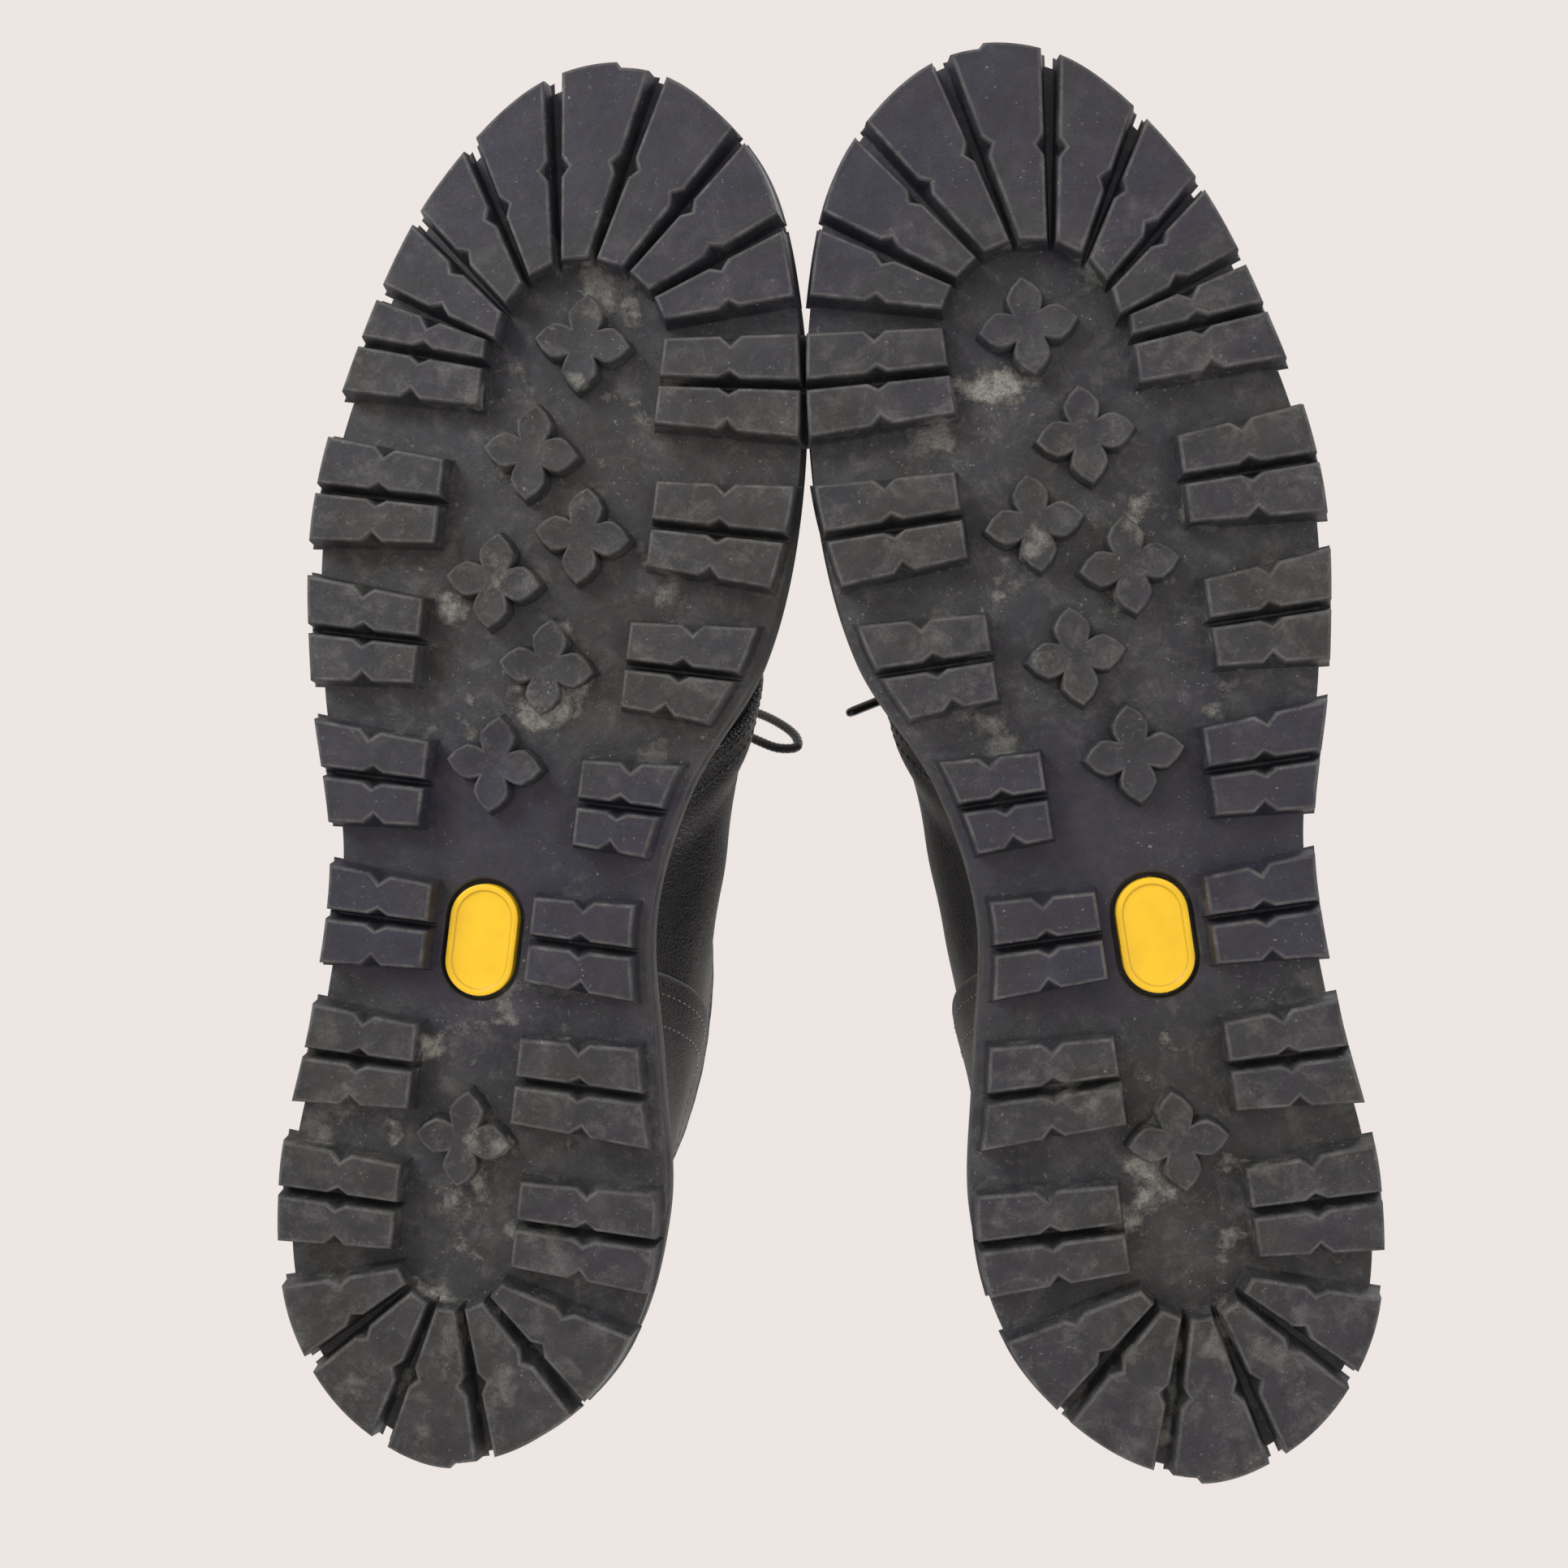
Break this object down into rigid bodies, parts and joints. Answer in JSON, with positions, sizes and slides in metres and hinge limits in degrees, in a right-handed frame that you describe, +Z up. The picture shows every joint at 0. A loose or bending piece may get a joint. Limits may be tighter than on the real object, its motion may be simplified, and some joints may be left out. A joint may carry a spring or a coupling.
{
  "type": "pair of lace-up work boots",
  "caption": "Pair of black leather ankle-high lace-up boots on one-piece lugged rubber soles with a yellow waist insert, standing with the toes turned in.",
  "frame": {"origin": "on the ground under the middle of the pair, at the centre of the box round both boots", "axes": "+Z up from the treads, toes towards -Y, the right boot on the -X side and the left boot on the +X side"},
  "size_m": [0.2386, 0.306, 0.1653],
  "materials": {
    "tread_rubber": "moulded charcoal rubber, dusty from wear",
    "midsole_rubber": "buffed dark grey rubber",
    "insert_rubber": "smooth moulded yellow rubber",
    "black_leather": "matt black full-grain leather with a fine grain",
    "lining_leather": "soft unfinished lining leather",
    "leather_board": "pressed leather board",
    "cork": "granulated cork",
    "shank_steel": "plain rolled spring steel",
    "stiffener": "thermoplastic stiffener sheet",
    "footbed_foam": "foam footbed with a felt face",
    "lace_cord": "braided round polyester cord",
    "aglet_plastic": "glossy heat-shrunk sleeve"
  },
  "bodies": {
    "right_boot": {"right_outsole": "tread_rubber", "right_sole_insert": "insert_rubber", "right_midsole": "midsole_rubber", "right_welt": "black_leather", "right_cork_filler": "cork", "right_shank": "shank_steel", "right_insole_board": "leather_board", "right_footbed": "footbed_foam", "right_lace_over": "lace_cord", "right_lace_under": "lace_cord", "right_knot": "lace_cord", "right_vamp": "black_leather", "right_quarter_lateral": "black_leather", "right_quarter_medial": "black_leather", "right_vamp_lining": "lining_leather", "right_quarter_lining": "lining_leather", "right_toe_puff": "stiffener", "right_heel_counter": "stiffener", "right_counter_pocket": "black_leather", "right_backstay": "black_leather", "right_facing_lateral": "black_leather", "right_facing_medial": "black_leather", "right_collar_binding": "black_leather", "right_loop_medial": "lace_cord", "right_loop_lateral": "lace_cord", "right_tail_medial": "lace_cord", "right_tail_lateral": "lace_cord", "right_aglet_medial": "aglet_plastic", "right_aglet_lateral": "aglet_plastic"},
    "left_boot": {"left_outsole": "tread_rubber", "left_sole_insert": "insert_rubber", "left_midsole": "midsole_rubber", "left_welt": "black_leather", "left_cork_filler": "cork", "left_shank": "shank_steel", "left_insole_board": "leather_board", "left_footbed": "footbed_foam", "left_lace_over": "lace_cord", "left_lace_under": "lace_cord", "left_knot": "lace_cord", "left_vamp": "black_leather", "left_quarter_lateral": "black_leather", "left_quarter_medial": "black_leather", "left_vamp_lining": "lining_leather", "left_quarter_lining": "lining_leather", "left_toe_puff": "stiffener", "left_heel_counter": "stiffener", "left_counter_pocket": "black_leather", "left_backstay": "black_leather", "left_facing_lateral": "black_leather", "left_facing_medial": "black_leather", "left_collar_binding": "black_leather", "left_loop_medial": "lace_cord", "left_loop_lateral": "lace_cord", "left_tail_medial": "lace_cord", "left_tail_lateral": "lace_cord", "left_aglet_medial": "aglet_plastic", "left_aglet_lateral": "aglet_plastic"},
    "right_tongue": {"right_tongue": "black_leather"},
    "left_tongue": {"left_tongue": "black_leather"}
  },
  "joints": [
    {"name": "left_boot_apart", "type": "slide", "parent": "right_boot", "child": "left_boot", "axis": [1, 0, 0], "range_m": [0, 0.3]},
    {"name": "right_tongue_press", "type": "hinge", "parent": "right_boot", "child": "right_tongue", "pos_m": [-0.05302, -0.07616, 0.074], "axis": [-0.9911, -0.1331, 0], "range_deg": [0, 12]},
    {"name": "left_tongue_press", "type": "hinge", "parent": "left_boot", "child": "left_tongue", "pos_m": [0.05302, -0.07616, 0.074], "axis": [-0.9911, 0.1331, 0], "range_deg": [0, 12]}
  ]
}
